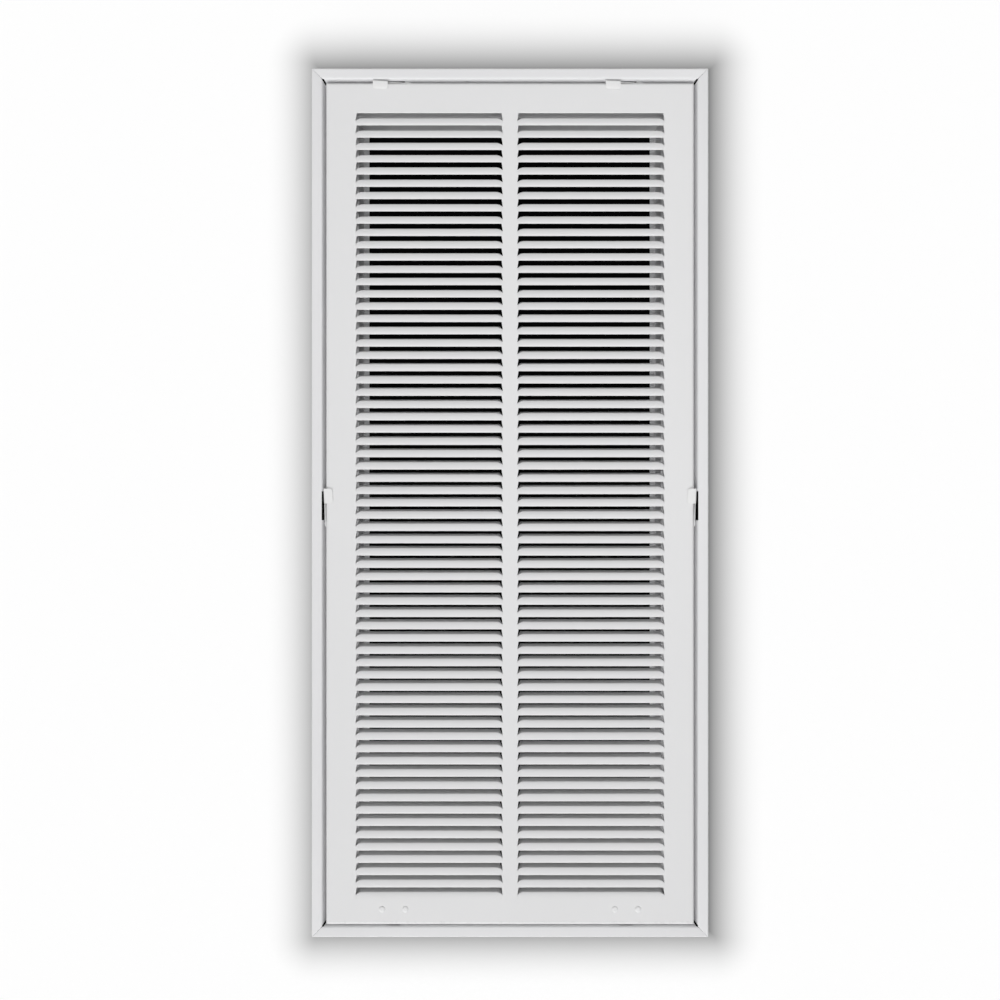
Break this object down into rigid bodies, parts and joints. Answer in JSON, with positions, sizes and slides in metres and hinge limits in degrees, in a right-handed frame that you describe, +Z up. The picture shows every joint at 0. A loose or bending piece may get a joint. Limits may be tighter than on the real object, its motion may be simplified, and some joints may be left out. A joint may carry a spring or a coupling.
{
  "type": "return air filter grille",
  "caption": "Wall return air grille: a louvered steel door hinged at its foot in a mitred frame with spring latches, a collar behind it for a thin filter",
  "frame": {"origin": "The middle of the mounting screw pattern, on the wall plane that the back of the frame's floor lies on", "axes": "+Z up, the louvered front faces -Y, +Y into the wall, +X to the right as seen from the front"},
  "size_m": [0.3206, 0.0415, 0.7016],
  "materials": {
    "frame_paint": "white satin powder coat",
    "door_paint": "white satin powder coat",
    "rivet_paint": "white satin coat over rivet heads",
    "latch_paint": "white coat on spring steel",
    "zinc_steel": "zinc plated"
  },
  "bodies": {
    "frame": {"frame_rail_top": "frame_paint", "frame_rail_bottom": "frame_paint", "frame_rail_left": "frame_paint", "frame_rail_right": "frame_paint", "frame_corner_rivets": "rivet_paint", "hinge_frame_leaf_left": "zinc_steel", "hinge_frame_rivets_left": "zinc_steel", "hinge_pin_left": "zinc_steel", "hinge_frame_leaf_right": "zinc_steel", "hinge_frame_rivets_right": "zinc_steel", "hinge_pin_right": "zinc_steel"},
    "door": {"louvered_door": "door_paint", "hinge_door_leaf_left": "zinc_steel", "hinge_door_rivets_left": "rivet_paint", "hinge_door_leaf_right": "zinc_steel", "hinge_door_rivets_right": "rivet_paint", "latch_rivets": "rivet_paint"},
    "latch_top_left": {"latch_top_left": "latch_paint"},
    "latch_top_right": {"latch_top_right": "latch_paint"},
    "latch_side_left": {"latch_side_left": "latch_paint"},
    "latch_side_right": {"latch_side_right": "latch_paint"}
  },
  "joints": [
    {"name": "door_hinge", "type": "hinge", "parent": "frame", "child": "door", "pos_m": [0, -0.00715, -0.33669], "axis": [1, 0, 0], "range_deg": [0, 110]},
    {"name": "latch_top_left_press", "type": "hinge", "parent": "door", "child": "latch_top_left", "pos_m": [-0.08329, -0.0053, 0.33914], "axis": [0, -1, 0], "range_deg": [0, 2.4], "stiffness_Nm_per_rad": 0.4},
    {"name": "latch_top_right_press", "type": "hinge", "parent": "door", "child": "latch_top_right", "pos_m": [0.10479, -0.0053, 0.33914], "axis": [0, -1, 0], "range_deg": [0, 2.4], "stiffness_Nm_per_rad": 0.4},
    {"name": "latch_side_left_press", "type": "hinge", "parent": "door", "child": "latch_side_left", "pos_m": [-0.14864, -0.0053, -0.01615], "axis": [0, 1, 0], "range_deg": [0, 2.4], "stiffness_Nm_per_rad": 0.4},
    {"name": "latch_side_right_press", "type": "hinge", "parent": "door", "child": "latch_side_right", "pos_m": [0.14864, -0.0053, -0.01615], "axis": [0, -1, 0], "range_deg": [0, 2.4], "stiffness_Nm_per_rad": 0.4}
  ]
}
